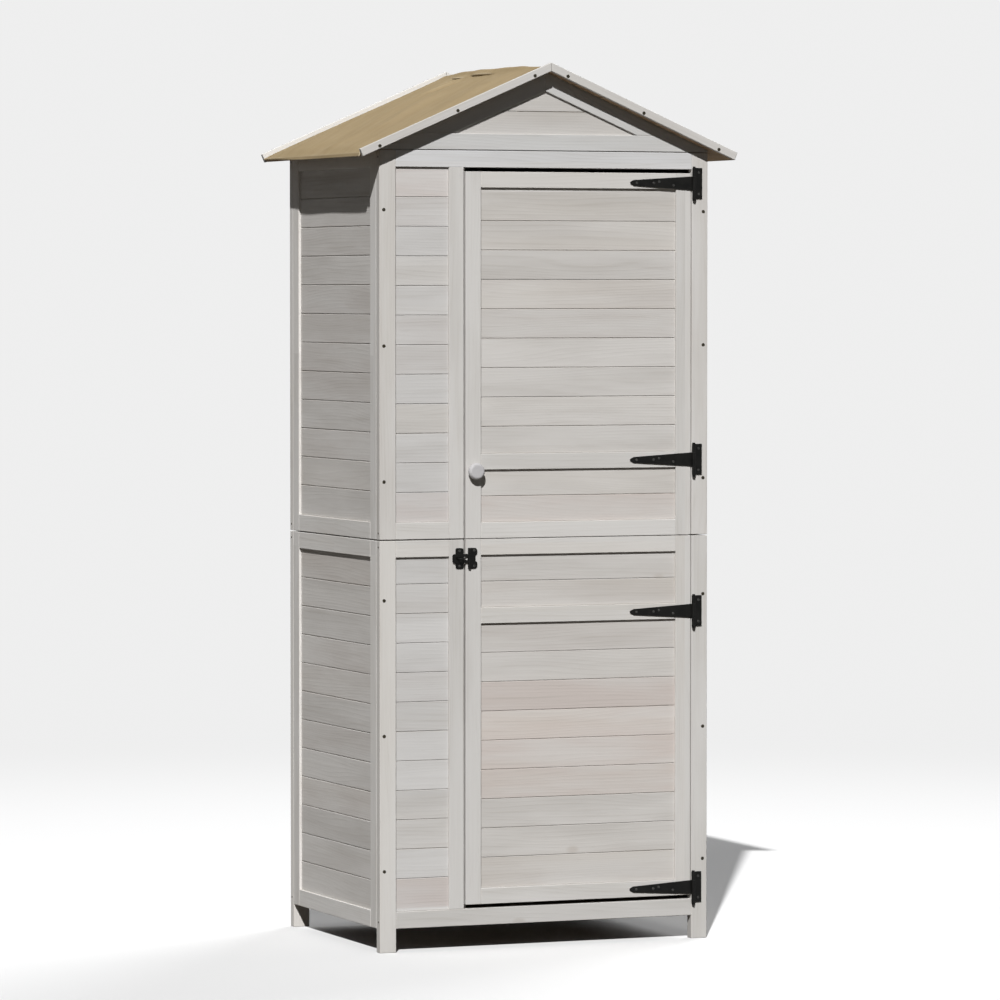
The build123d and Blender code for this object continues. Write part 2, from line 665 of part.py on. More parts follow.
def hinge_pin(z):
    """Pin with a small head on top and a peened tail below."""
    half = LEAF_HEIGHT / 2
    pin = upright(HINGE_PIN_RADIUS, HINGE_X, HINGE_Y, z - half - PIN_TAIL_HEIGHT, z + half + PIN_HEAD_HEIGHT)
    pin += upright(PIN_HEAD_RADIUS, HINGE_X, HINGE_Y, z + half, z + half + PIN_HEAD_HEIGHT)
    pin += upright(PIN_HEAD_RADIUS, HINGE_X, HINGE_Y, z - half - PIN_TAIL_HEIGHT, z - half)
    return pin


def build_hinges():
    """Four T-hinges: leaves, straps and pins."""
    heights = hinge_heights()
    save("hinge_leaves", *[hinge_leaf(z) for z in heights])
    save("hinge_straps", *[hinge_strap(z) for z in heights])
    save("hinge_pins", *[hinge_pin(z) for z in heights])


def build_knob():
    """Turned knob on the left stile of the upper half, and the screw that holds it from inside."""
    x = DOOR_LEFT + DOOR_STILE_WIDTH / 2 + KNOB_FROM_STILE_MIDDLE
    head_length = KNOB_LENGTH - KNOB_NECK_LENGTH
    head = Cylinder(KNOB_RADIUS, head_length)
    head = fillet(head.edges().filter_by(GeomType.CIRCLE), KNOB_ROUNDING)
    neck = Cylinder(KNOB_NECK_RADIUS, KNOB_LENGTH / 2)
    knob = Pos(0, 0, KNOB_NECK_LENGTH + head_length / 2) * head + Pos(0, 0, KNOB_LENGTH / 4) * neck
    save("door_knob", Pos(x, FRONT, KNOB_HEIGHT) * Rot(90, 0, 0) * knob)
    holder_length = DOOR_THICK + KNOB_SCREW_BITE
    holder = screw(SCREW_HEAD_RADIUS, SCREW_SHANK_RADIUS, holder_length, SMALL_HEAD_PROUD, 0)
    save("knob_screw", place(holder, x, DOOR_BACK, KNOB_HEIGHT, TO_FRONT))


def screw_hole(x, z, plate_thick):
    """A hole through a metal plate that lies on the front face."""
    hole = Rot(90, 0, 0) * Cylinder(SMALL_SHANK_RADIUS + HINGE_CLEARANCE, 4 * plate_thick)
    return Pos(x, FRONT, z) * hole


def leaf_screw_spots():
    """Where the screws of the hinge leaves stand."""
    x = HINGE_X + (KNUCKLE_RADIUS + LEAF_REACH) / 2
    return [(x, z + side * LEAF_SCREW_SPREAD) for z in hinge_heights() for side in (-1, 1)]


def strap_screw_spots():
    """Where the screws of the hinge straps stand."""
    tip = HINGE_X - STRAP_LENGTH
    return [(tip + along, z + up) for z in hinge_heights() for along, up in STRAP_SCREWS_FROM_TIP]


def hasp_plate_spots():
    """Where the screws of the hasp's door plate stand."""
    x = HASP_X - HASP_KNUCKLE_RADIUS + HASP_PLATE_WIDTH - HASP_CORNER - SMALL_HEAD_RADIUS
    return [(x, HASP_HEIGHT + side * HASP_SCREW_SPREAD) for side in (-1, 1)]


def hasp_staple_spots():
    """Where the screws of the staple plate stand."""
    return [(STAPLE_X, HASP_HEIGHT + side * HASP_SCREW_SPREAD) for side in (-1, 1)]


def build_fitting_screws():
    """Small dome-headed screws of the hinges and the hasp."""
    small = screw(SMALL_HEAD_RADIUS, SMALL_SHANK_RADIUS, SMALL_SCREW_LENGTH, SMALL_HEAD_PROUD, 0)
    hinge_front = FRONT - HINGE_PLATE_THICK
    hasp_front = FRONT - HASP_PLATE_THICK
    on_frame = [place(small, x, hinge_front, z) for x, z in leaf_screw_spots()]
    on_frame += [place(small, x, hasp_front, z) for x, z in hasp_staple_spots()]
    save("frame_fitting_screws", *on_frame)
    on_door = [place(small, x, hinge_front, z) for x, z in strap_screw_spots()]
    on_door += [place(small, x, hasp_front, z) for x, z in hasp_plate_spots()]
    save("door_fitting_screws", *on_door)


def build_hasp_plate():
    """Waisted plate on the door with a knuckle at each end, and the pin."""
    low = HASP_HEIGHT - HASP_PLATE_HEIGHT / 2
    high = HASP_HEIGHT + HASP_PLATE_HEIGHT / 2
    half_strap = HASP_STRAP_HEIGHT / 2
    band = half_strap + KNUCKLE_GAP
    left = HASP_X - HASP_KNUCKLE_RADIUS
    right = left + HASP_PLATE_WIDTH
    upper_edge = [
        (right - HASP_WAIST, half_strap - HASP_WAIST),
        (right, half_strap),
        (right, high - HASP_HEIGHT - HASP_CORNER),
        (right - HASP_CORNER, high - HASP_HEIGHT),
        (left, high - HASP_HEIGHT),
    ]
    lower_edge = [(x, -up) for x, up in upper_edge]
    outline = [(x, HASP_HEIGHT + up) for x, up in upper_edge + lower_edge[::-1]]
    plate = prism_along_y(outline, FRONT - HASP_PLATE_THICK, FRONT)
    plate += upright(HASP_KNUCKLE_RADIUS, HASP_X, HASP_Y, low, high)
    clear = HASP_KNUCKLE_RADIUS + 2 * KNUCKLE_GAP
    z0 = HASP_HEIGHT - band
    z1 = HASP_HEIGHT + band
    plate -= block(HASP_X - clear, HASP_X + clear, HASP_Y - clear, FRONT, z0, z1)
    plate -= upright(HASP_PIN_RADIUS + HINGE_CLEARANCE, HASP_X, HASP_Y, low, high)
    for x, z in hasp_plate_spots():
        plate -= screw_hole(x, z, HASP_PLATE_THICK)
    save("hasp_hinge_plate", plate)
    save("hasp_pin", upright(HASP_PIN_RADIUS, HASP_X, HASP_Y, low, high))


def build_hasp_strap():
    """Slotted strap that folds over the staple."""
    low = HASP_HEIGHT - HASP_STRAP_HEIGHT / 2
    high = HASP_HEIGHT + HASP_STRAP_HEIGHT / 2
    front = HASP_Y - HASP_STRAP_THICK / 2
    back = HASP_Y + HASP_STRAP_THICK / 2
    slot_right = HASP_X - HASP_KNUCKLE_RADIUS - HASP_STRAP_THICK
    slot_left = STAPLE_X - STAPLE_LOOP_RADIUS - STAPLE_WIRE_RADIUS - HASP_SLOT_CLEARANCE
    half_slot = STAPLE_WIRE_RADIUS + HASP_SLOT_SIDE_CLEARANCE
    strap = block(slot_left - HASP_TIP_LENGTH, HASP_X, front, back, low, high)
    tip_corners = strap.edges().filter_by(Axis.Y).group_by(Axis.X)[0]
    strap = fillet(tip_corners, HASP_STRAP_HEIGHT / 4)
    strap += upright(HASP_KNUCKLE_RADIUS, HASP_X, HASP_Y, low, high)
    strap -= block(slot_left, slot_right, front, back, HASP_HEIGHT - half_slot, HASP_HEIGHT + half_slot)
    strap -= upright(HASP_PIN_RADIUS + HINGE_CLEARANCE, HASP_X, HASP_Y, low, high)
    save("hasp_strap", strap)


def build_hasp_staple():
    """Plate on the jamb with an eye of bent wire for a padlock."""
    half_width = HASP_STAPLE_WIDTH / 2
    low = HASP_HEIGHT - HASP_PLATE_HEIGHT / 2
    high = HASP_HEIGHT + HASP_PLATE_HEIGHT / 2
    plate_front = FRONT - HASP_PLATE_THICK
    staple = block(STAPLE_X - half_width, STAPLE_X + half_width, plate_front, FRONT, low, high)
    staple = fillet(staple.edges().filter_by(Axis.Y), HASP_CORNER)
    bend_y = plate_front - STAPLE_LEG_LENGTH
    left = STAPLE_X - STAPLE_LOOP_RADIUS
    right = STAPLE_X + STAPLE_LOOP_RADIUS
    crown = (STAPLE_X, bend_y - STAPLE_LOOP_RADIUS, HASP_HEIGHT)
    left_leg = Line((left, FRONT, HASP_HEIGHT), (left, bend_y, HASP_HEIGHT))
    bend = ThreePointArc((left, bend_y, HASP_HEIGHT), crown, (right, bend_y, HASP_HEIGHT))
    right_leg = Line((right, bend_y, HASP_HEIGHT), (right, FRONT, HASP_HEIGHT))
    start = Plane(origin=(left, FRONT, HASP_HEIGHT), z_dir=(0, -1, 0))
    staple += sweep(start * Circle(STAPLE_WIRE_RADIUS), path=left_leg + bend + right_leg)
    for x, z in hasp_staple_spots():
        staple -= screw_hole(x, z, HASP_PLATE_THICK)
    save("hasp_staple", staple)


os.makedirs("parts", exist_ok=True)
build_legs()
build_front()
build_sides()
build_back()
build_gable("front", FRONT, 1)
build_gable("rear", REAR, -1)
build_deck("left", -1)
build_deck("right", 1)
build_felt()
build_barges("front", -ROOF_DEPTH / 2, BARGE_HEIGHT)
build_barges("rear", ROOF_DEPTH / 2 - BARGE_THICK, REAR_BARGE_HEIGHT)
build_roof_battens()
build_floor()
build_joining_pieces()
build_door()
build_leg_screws()
build_barge_screws()
build_hinges()
build_knob()
build_hasp_plate()
build_hasp_strap()
build_hasp_staple()
build_fitting_screws()
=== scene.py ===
import math

import bmesh
import bpy
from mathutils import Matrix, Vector
from mathutils.noise import noise


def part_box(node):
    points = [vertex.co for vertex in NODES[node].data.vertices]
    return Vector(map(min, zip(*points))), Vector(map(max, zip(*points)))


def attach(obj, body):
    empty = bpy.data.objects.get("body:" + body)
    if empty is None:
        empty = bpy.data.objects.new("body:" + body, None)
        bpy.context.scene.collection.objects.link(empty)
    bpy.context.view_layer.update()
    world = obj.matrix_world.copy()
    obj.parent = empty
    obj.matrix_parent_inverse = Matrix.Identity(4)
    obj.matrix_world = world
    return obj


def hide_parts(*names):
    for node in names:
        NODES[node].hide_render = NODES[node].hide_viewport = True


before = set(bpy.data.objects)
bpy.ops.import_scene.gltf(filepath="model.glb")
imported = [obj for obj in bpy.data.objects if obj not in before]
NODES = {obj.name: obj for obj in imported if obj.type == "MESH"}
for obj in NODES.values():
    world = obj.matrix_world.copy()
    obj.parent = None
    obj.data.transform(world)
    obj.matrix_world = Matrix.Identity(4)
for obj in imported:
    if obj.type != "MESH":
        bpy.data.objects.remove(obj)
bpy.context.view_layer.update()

# Driving dimensions of the solids, in metres
SEAM = 0.830
ROOF_ANGLE = math.radians(23.3)
DECK_APEX = 1.77254
DECK_THICK = 0.007
BOARD_PITCH = 0.0593
STILE_WIDTH = 0.034
DOOR_MIDDLE_RAILS = {"door_boards_lower": 0.675, "door_boards_upper": 0.985}

# Camera and light
CAMERA_PLACE = (-4.3125, -10.519, 1.325)
CAMERA_YAW = 0.3896
CAMERA_PITCH = -0.0376
CAMERA_LENS = 197.8
CAMERA_SENSOR = 36.0
CAMERA_REACH = 200.0
KEY_DIRECTION = (-0.345, -0.660, 0.667)
KEY_STRENGTH = 4.39
KEY_ANGLE = math.radians(0.9)
BACK_DIRECTION = (0.72, 0.62, 0.45)
BACK_STRENGTH = 1.8
BACK_ANGLE = math.radians(30.0)
LAMP_DISTANCE = 6.0
FILL_COLOUR = (0.93, 0.96, 1.0)
FILL_STRENGTH = 0.066
BACKDROP = 0.86
FLOOR_TONE = 0.80
FLOOR_BOUNCE = (0.046, 0.040, 0.031)
FLOOR_RADIUS = 40.0
FLOOR_SIDES = 96
FLOOR_FADE_START = 1.6
FLOOR_FADE_END = 5.0

# Wood: scales of its marks per metre, along the grain and across it both ways
FIGURE_SCALE = (1.1, 9.0, 9.0)
STREAK_SCALE = (3.0, 170.0, 170.0)
PORE_SCALE = (26.0, 800.0, 800.0)
PATCH_SCALE = (2.4, 15.0, 15.0)
KNOT_SCALE = (5.0, 8.5, 3.0)
KNOT_SCATTER = 0.8
KNOT_RARITY = 0.80
KNOT_RIM = 0.10
KNOT_CORE = 0.04
RINGS_PER_METRE = 140.0
RING_WANDER = 16.0
# How far the random colour of a member moves the grain, so that no two look alike
MEMBER_SHIFT = (7.0, 3.0, 5.0)

# Wood: how strongly each mark shows in the colour
PINKNESS = 0.14
BLUSH = 0.43
TANNESS = 0.30
RING_LINES = 0.42
STREAK_LINES = 0.20
PORE_FLECKS = 0.22
KNOT_TONE = 0.24
EDGE_WEAR = 0.45
EDGE_RADIUS = 0.0022
MEMBER_DARKEST = 0.945
MEMBER_RANGE = 0.08

# Wood: surface
WOOD_SPECULAR = 0.20
STREAK_RELIEF = 0.6
RING_RELIEF = 0.25
PORE_RELIEF = 0.35
WOOD_BUMP = 0.35
WOOD_RELIEF = 0.0007

# Cells that tell members apart, as a start and a size along an axis
FAR = 50.0
ABOVE_AND_BELOW_SEAM = (SEAM - FAR, FAR)
BOTH_SIDES = (-FAR, FAR)
UPRIGHT_WIDTHS = (-FAR, 0.09)
RAIL_HEIGHTS = (-FAR, 0.07)
SIDE_RAIL_HEIGHTS = (-FAR, 0.4)
DECK_BOARDS = (-FAR, 0.058)
FLOOR_BOARDS = (-FAR, 0.08)
CELLS_BELOW_FIELD = 40
LEAST_FIRST_BOARD = 0.25 * BOARD_PITCH

# Seeds of the members' random colours
UPRIGHT_SEED = 3.0
DECK_SEED = 5.0
FLOOR_SEED = 9.0
RAIL_SEED = 11.0
SIDE_FRAME_SEED = 17.0
GABLE_FRAME_SEED = 23.0
BARGE_SEED = 29.0
FIRST_BOARD_SEED = 31.0
REAR_BARGE_SEED = 37.0
SEED_STEP = 7.0

# Plugs that floor the crosses in the screw heads
CROSS_DEPTH = 0.00022
CROSS_REACH = 0.60
PLUG_THICK = 0.0008
PLUG_SIDES = 12
SCREW_END = 0.0006
WELD_DISTANCE = 1e-5

# Felt sheet
FELT_THICK = 0.0016
FELT_CLEAR = 0.0002
FELT_RIDGE_RADIUS = 0.006
FELT_STEPS_DOWN = 130
FELT_STEPS_LIP = 5
FELT_STEPS_ALONG = 220
# Share of the row spacing that is even, while the rest crowds the rows towards the ridge
FELT_EVEN_ROWS = 0.3

# Felt: lip that is turned down at the eaves, and shortens between two places along the ridge
FELT_LIP_FRONT = 0.0068
FELT_LIP_REAR = 0.0015
LIP_SHORTENS = (0.02, 0.28)
LIP_FLARE = 0.25
LIP_WAVE_HEIGHT = 0.0006
LIP_WAVES = 21.0

# Felt: slack along the ridge, from none to all of it at the front and at the rear
FELT_RIDGE_LOW = 0.0014
FELT_RIDGE_HIGH = 0.0074
FELT_RIDGE_SPREAD = 0.014
RIDGE_SLACK_FRONT = (-0.285, -0.05)
RIDGE_SLACK_REAR = (0.285, 0.16)

# Felt: unevenness on the slopes, with scales per metre along the ridge and down the slope
WIDE_SCALE = (12.0, 3.2)
WIDE_LEAN = 0.3
WIDE_SEED = (4.7, 1.3)
FINE_SCALE = (24.0, 10.0)
FINE_SEED = (9.1, 7.7)
TIGHT_HEIGHT = 0.0028
LOOSE_HEIGHT = 0.0052
FINE_HEIGHT = 0.0005
FELT_HALF_LENGTH = 0.28
HELD_AT_ENDS = 0.07
HELD_AT_RIDGE = 0.08
HELD_AT_EAVE = 0.03

# Felt: creases on the left slope, as (y, distance down, half length, half width, height, turn)
CREASES = (
    (0.102, 0.088, 0.056, 0.0055, 0.0050, 0.44),
    (0.126, 0.060, 0.040, 0.0050, 0.0034, 0.36),
    (-0.022, 0.210, 0.150, 0.0260, 0.0058, -0.62),
    (0.060, 0.250, 0.150, 0.0300, 0.0040, -0.55),
    (-0.060, 0.370, 0.090, 0.0200, 0.0040, 0.23),
    (-0.180, 0.120, 0.130, 0.0240, 0.0046, -0.30),
    (0.200, 0.260, 0.160, 0.0260, 0.0044, -0.20),
)
CREASE_FADE = 1.3
# Felt: slack that has rolled over beside the ridge, as (y, distance down, half length, overhang, height)
ROLLS = (
    (0.147, 0.026, 0.046, 0.0110, 0.0040),
    (0.028, 0.019, 0.076, 0.0115, 0.0042),
)
ROLL_WIDTH = 0.0050
ROLL_LEAN = 0.30
ROLL_TUCK = 0.6
# The right slope has the same creases turned end for end about half of this y
RIGHT_SLOPE_TURN = -0.05

# Places of the sockets of a mix node for each kind of data: both inputs and the output
COLOUR_SOCKETS = (6, 7, 2)
VECTOR_SOCKETS = (4, 5, 1)
BEVEL_SAMPLES = 4


class Shader:
    """A material with short calls for the nodes that it is made of."""

    def __init__(self, name):
        self.material = bpy.data.materials.new(name)
        self.material.use_nodes = True
        self.tree = self.material.node_tree
        self.tree.nodes.clear()
        self.out = self.add("ShaderNodeOutputMaterial")
        self.surface = self.add("ShaderNodeBsdfPrincipled")
        self.join(self.surface.outputs["BSDF"], self.out.inputs["Surface"])

    def add(self, kind, **settings):
        node = self.tree.nodes.new(kind)
        for key, value in settings.items():
            setattr(node, key, value)
        return node

    def join(self, source, socket):
        """Links a socket to another, or sets it to a plain value."""
        if isinstance(source, bpy.types.NodeSocket):
            self.tree.links.new(source, socket)
        else:
            socket.default_value = source

    def place(self):
        return self.add("ShaderNodeTexCoord").outputs["Object"]

    def parts_of(self, vector):
        node = self.add("ShaderNodeSeparateXYZ")
        self.join(vector, node.inputs[0])
        return node.outputs

    def vector(self, x, y, z):
        node = self.add("ShaderNodeCombineXYZ")
        for socket, value in zip(node.inputs, (x, y, z)):
            self.join(value, socket)
        return node.outputs[0]

    def maths(self, operation, *values):
        node = self.add("ShaderNodeMath", operation=operation)
        for socket, value in zip(node.inputs, values):
            self.join(value, socket)
        return node.outputs[0]

    def plus(self, first, second):
        return self.maths("ADD", first, second)

    def minus(self, first, second):
        return self.maths("SUBTRACT", first, second)

    def times(self, first, second):
        return self.maths("MULTIPLY", first, second)

    def scaled(self, vector, by):
        node = self.add("ShaderNodeVectorMath", operation="MULTIPLY")
        self.join(vector, node.inputs[0])
        node.inputs[1].default_value = by
        return node.outputs[0]

    def moved(self, vector, by):
        node = self.add("ShaderNodeVectorMath", operation="ADD")
        self.join(vector, node.inputs[0])
        self.join(by, node.inputs[1])
        return node.outputs[0]

    def noise(self, vector, scale, detail=2.0, roughness=0.5):
        node = self.add("ShaderNodeTexNoise")
        self.join(self.scaled(vector, scale), node.inputs["Vector"])
        node.inputs["Scale"].default_value = 1.0
        node.inputs["Detail"].default_value = detail
        node.inputs["Roughness"].default_value = roughness
        return node.outputs["Fac"]

    def spread(self, value, low, high, to_low=0.0, to_high=1.0):
        """Maps low..high to to_low..to_high, smoothly and clamped."""
        node = self.add("ShaderNodeMapRange", interpolation_type="SMOOTHSTEP")
        for socket, number in zip(node.inputs, (value, low, high, to_low, to_high)):
            self.join(number, socket)
        return node.outputs[0]

    def mixed(self, node, sockets, factor, first, second):
        first_place, second_place, result_place = sockets
        self.join(factor, node.inputs[0])
        self.join(first, node.inputs[first_place])
        self.join(second, node.inputs[second_place])
        return node.outputs[result_place]

    def mix(self, factor, first, second, blend="MIX"):
        node = self.add("ShaderNodeMix", data_type="RGBA", blend_type=blend)
        return self.mixed(node, COLOUR_SOCKETS, factor, first, second)

    def mix_vector(self, factor, first, second):
        node = self.add("ShaderNodeMix", data_type="VECTOR")
        return self.mixed(node, VECTOR_SOCKETS, factor, first, second)

    def bump(self, height, strength, distance):
        node = self.add("ShaderNodeBump")
        node.inputs["Strength"].default_value = strength
        node.inputs["Distance"].default_value = distance
        self.join(height, node.inputs["Height"])
        self.join(node.outputs[0], self.surface.inputs["Normal"])

    def edges(self, radius, low, high):
        """1 on the edges of the mesh and 0 on its flats."""
        bevel = self.add("ShaderNodeBevel", samples=BEVEL_SAMPLES)
        bevel.inputs["Radius"].default_value = radius
        geometry = self.add("ShaderNodeNewGeometry")
        dot = self.add("ShaderNodeVectorMath", operation="DOT_PRODUCT")
        self.join(bevel.outputs[0], dot.inputs[0])
        self.join(geometry.outputs["Normal"], dot.inputs[1])
        return self.spread(self.minus(1.0, dot.outputs["Value"]), low, high)

    def set(self, **values):
        """Sets or links the sockets of the surface, written with _ for a space."""
        for key, value in values.items():
            self.join(value, self.surface.inputs[key.replace("_", " ")])


def grey(value):
    return (value, value, value, 1.0)


def rgb(red, green, blue):
    return (red, green, blue, 1.0)


def evenly(scale):
    """The same scale in all three directions."""
    return (scale, scale, scale)


# Tones of the wood
FRAME_WASH = {
    "pale": rgb(0.603, 0.587, 0.566),
    "thin": rgb(0.546, 0.528, 0.503),
    "line": rgb(0.453, 0.424, 0.385),
    "pink": rgb(0.566, 0.519, 0.484),
    "tan": rgb(0.570, 0.534, 0.480),
    "knot": rgb(0.341, 0.278, 0.219),
    "worn": rgb(0.487, 0.424, 0.341),
    "roughness": (0.62, 0.82),
}
BOARD_WASH = {
    "pale": rgb(0.585, 0.564, 0.540),
    "thin": rgb(0.508, 0.486, 0.461),
    "line": rgb(0.419, 0.386, 0.347),
    "pink": rgb(0.560, 0.482, 0.444),
    "rose": rgb(0.576, 0.490, 0.452),
    "tan": rgb(0.555, 0.504, 0.439),
    "knot": rgb(0.318, 0.246, 0.183),
    "worn": rgb(0.463, 0.396, 0.314),
    "roughness": (0.62, 0.82),
}
FRESH_WASH = {
    "pale": rgb(0.700, 0.692, 0.680),
    "thin": rgb(0.655, 0.645, 0.628),
    "line": rgb(0.620, 0.600, 0.570),
    "pink": rgb(0.740, 0.715, 0.690),
    "tan": rgb(0.740, 0.720, 0.680),
    "knot": rgb(0.480, 0.430, 0.380),
    "worn": rgb(0.600, 0.550, 0.480),
    "roughness": (0.60, 0.80),
}
BARE = {
    "pale": rgb(0.430, 0.300, 0.185),
    "thin": rgb(0.360, 0.240, 0.140),
    "line": rgb(0.250, 0.155, 0.085),
    "pink": rgb(0.400, 0.250, 0.160),
    "tan": rgb(0.450, 0.320, 0.170),
    "knot": rgb(0.160, 0.085, 0.045),
    "worn": rgb(0.430, 0.310, 0.200),
    "roughness": (0.66, 0.88),
}


def scaled_wash(wash, shares):
    """The same wash with its colours scaled, lighter above 1 and darker below. On the sides and gables this
    paints in light and shade; on other members it is their own tone.
    """
    rescaled = {"roughness": wash["roughness"]}
    for name in wash:
        if name != "roughness":
            rescaled[name] = tuple(share * part for share, part in zip(shares, wash[name]))
    return rescaled


# Side boards laid lighter: painted light on the side walls.
SIDE_BOARD_WASH_PAINTED_LIGHT = scaled_wash(BOARD_WASH, grey(1.085))
PANEL_BOARD_WASH = scaled_wash(BOARD_WASH, rgb(0.985, 1.0, 1.020))
# Gable boards laid darker: painted shade of the roof's overhang on the gables.
GABLE_BOARD_WASH_PAINTED_SHADE = scaled_wash(BOARD_WASH, grey(0.90))
# Side frames and rear uprights laid lighter: painted light on the side walls.
SIDE_FRAME_WASH_PAINTED_LIGHT = scaled_wash(FRAME_WASH, grey(1.17))
# Gable frames laid darker: painted shade of the roof's overhang on the rakes.
GABLE_FRAME_WASH_PAINTED_SHADE = scaled_wash(FRAME_WASH, rgb(0.91, 0.93, 0.95))
LEFT_LEG_WASH = scaled_wash(FRAME_WASH, grey(1.05))
TOP_RAIL_WASH = scaled_wash(FRAME_WASH, rgb(1.02, 1.045, 1.09))
BOTTOM_RAIL_WASH = scaled_wash(FRAME_WASH, grey(0.92))
KNOB_WASH = scaled_wash(FRAME_WASH, rgb(0.83, 0.84, 0.89))
# Middle heights of the boards where the heartwood shows through the wash
ROSY_BOARDS = {
    "front_panel_boards_upper": (0.894, 1.549),
    "front_panel_boards_lower": (0.118,),
    "door_boards_upper": (0.886,),
    "door_boards_lower": (0.333, 0.392, 0.451, 0.511),
}
# Each field of boards, the way its grain runs and its wash
BOARD_FIELDS = (
    ("front_panel_boards", "x", PANEL_BOARD_WASH),
    ("back_boards", "x", BOARD_WASH),
    ("door_boards", "x", BOARD_WASH),
    ("left_side_boards", "y", SIDE_BOARD_WASH_PAINTED_LIGHT),
    ("right_side_boards", "y", SIDE_BOARD_WASH_PAINTED_LIGHT),
)
HALVES = ("lower", "upper")

# Tones of the metal and the felt
IRON_TONES = {
    "coat": rgb(0.0038, 0.0038, 0.0035),
    "thin": rgb(0.0070, 0.0068, 0.0062),
    "rubbed": rgb(0.060, 0.056, 0.050),
}
# Paler than the iron's tones: painted highlight on the screw heads.
FITTING_SCREW_TONES_PAINTED_HIGHLIGHT = {"coat": rgb(0.020, 0.020, 0.019), "thin": rgb(0.055, 0.053, 0.048)}
SCREW_TONES = {"zinc": rgb(0.040, 0.034, 0.022), "dull": rgb(0.020, 0.017, 0.012)}
FELT_TONES = {
    "light": rgb(0.341, 0.263, 0.155),
    "dark": rgb(0.320, 0.244, 0.139),
    "stain": rgb(0.279, 0.205, 0.115),
    "nap": rgb(0.389, 0.310, 0.194),
    "crest": rgb(0.510, 0.430, 0.300),
}

# Metal and felt: scales of their marks per metre
IRON_GRIT_SCALE = evenly(900.0)
IRON_CLOUD_SCALE = evenly(55.0)
FITTING_SCREW_SCALE = evenly(600.0)
SCREW_SCALE = evenly(420.0)
FELT_NAP_SCALE = evenly(620.0)
FELT_MOTTLE_SCALE = (14.0, 40.0, 1.0)
FELT_STAIN_SCALE = (3.5, 15.0, 1.0)
FELT_STREAK_LEAN = 0.55


def grain_frame(shader, place, along):
    """The place turned so that its first part runs along the grain."""
    x, y, z = shader.parts_of(place)
    if along == "x":
        return shader.vector(x, z, y)
    if along == "y":
        return shader.vector(y, z, x)
    if along == "z":
        return shader.vector(z, x, y)
    out = shader.maths("ABSOLUTE", x)
    run = shader.times(out, math.cos(ROOF_ANGLE))
    fall = shader.times(z, math.sin(ROOF_ANGLE))
    rise = shader.times(out, math.sin(ROOF_ANGLE))
    lift = shader.times(z, math.cos(ROOF_ANGLE))
    return shader.vector(shader.minus(run, fall), shader.plus(rise, lift), y)


def member_number(shader, place, cells, seed):
    """A random colour for each member, told apart by cells: for an axis, a start and a size.

    Under "split", an axis has a height from which its cells have another start.
    """
    numbers = []
    for axis, value in zip("xyz", shader.parts_of(place)):
        start, size = cells.get(axis, (-FAR, 2 * FAR))
        if axis in cells.get("split", ()):
            height, later_start = cells["split"][axis]
            past = shader.maths("GREATER_THAN", value, height)
            start = shader.plus(start, shader.times(past, later_start - start))
        from_start = shader.minus(value, start)
        numbers.append(shader.maths("FLOOR", shader.maths("DIVIDE", from_start, size)))
    numbers[0] = shader.plus(numbers[0], seed)
    white = shader.add("ShaderNodeTexWhiteNoise", noise_dimensions="3D")
    shader.join(shader.vector(*numbers), white.inputs["Vector"])
    return white.outputs["Color"]


def at_heights(shader, place, heights):
    """1 on the boards whose middles stand at the given heights."""
    z = shader.parts_of(place)[2]
    mask = 0.0
    for height in heights:
        off = shader.maths("ABSOLUTE", shader.minus(z, height))
        mask = shader.maths("MAXIMUM", mask, shader.maths("LESS_THAN", off, BOARD_PITCH / 2))
    return mask


def knots(shader, grain):
    """1 in the middles of a few knots, which are drawn out along the grain."""
    cells = shader.add("ShaderNodeTexVoronoi")
    shader.join(shader.scaled(grain, KNOT_SCALE), cells.inputs["Vector"])
    cells.inputs["Scale"].default_value = 1.0
    cells.inputs["Randomness"].default_value = KNOT_SCATTER
    chosen = shader.maths("GREATER_THAN", shader.parts_of(cells.outputs["Color"])[0], KNOT_RARITY)
    return shader.times(shader.spread(cells.outputs["Distance"], KNOT_RIM, KNOT_CORE), chosen)


def wood_marks(shader, grain):
    """The noises and masks of the marks in the wood, by name."""
    figure = shader.noise(grain, FIGURE_SCALE)
    across = shader.times(shader.parts_of(grain)[1], RINGS_PER_METRE)
    cycles = shader.plus(across, shader.times(figure, RING_WANDER))
    wave = shader.maths("SINE", shader.times(cycles, 2 * math.pi))
    pores = shader.noise(grain, PORE_SCALE)
    return {
        "figure": figure,
        "rings": shader.spread(wave, low=0.1, high=1.0),
        "streaks": shader.noise(grain, STREAK_SCALE, detail=5.0, roughness=0.65),
        "patches": shader.noise(grain, PATCH_SCALE, detail=3.0, roughness=0.6),
        "flecks": shader.spread(pores, low=0.62, high=0.76),
        "knots": knots(shader, grain),
    }


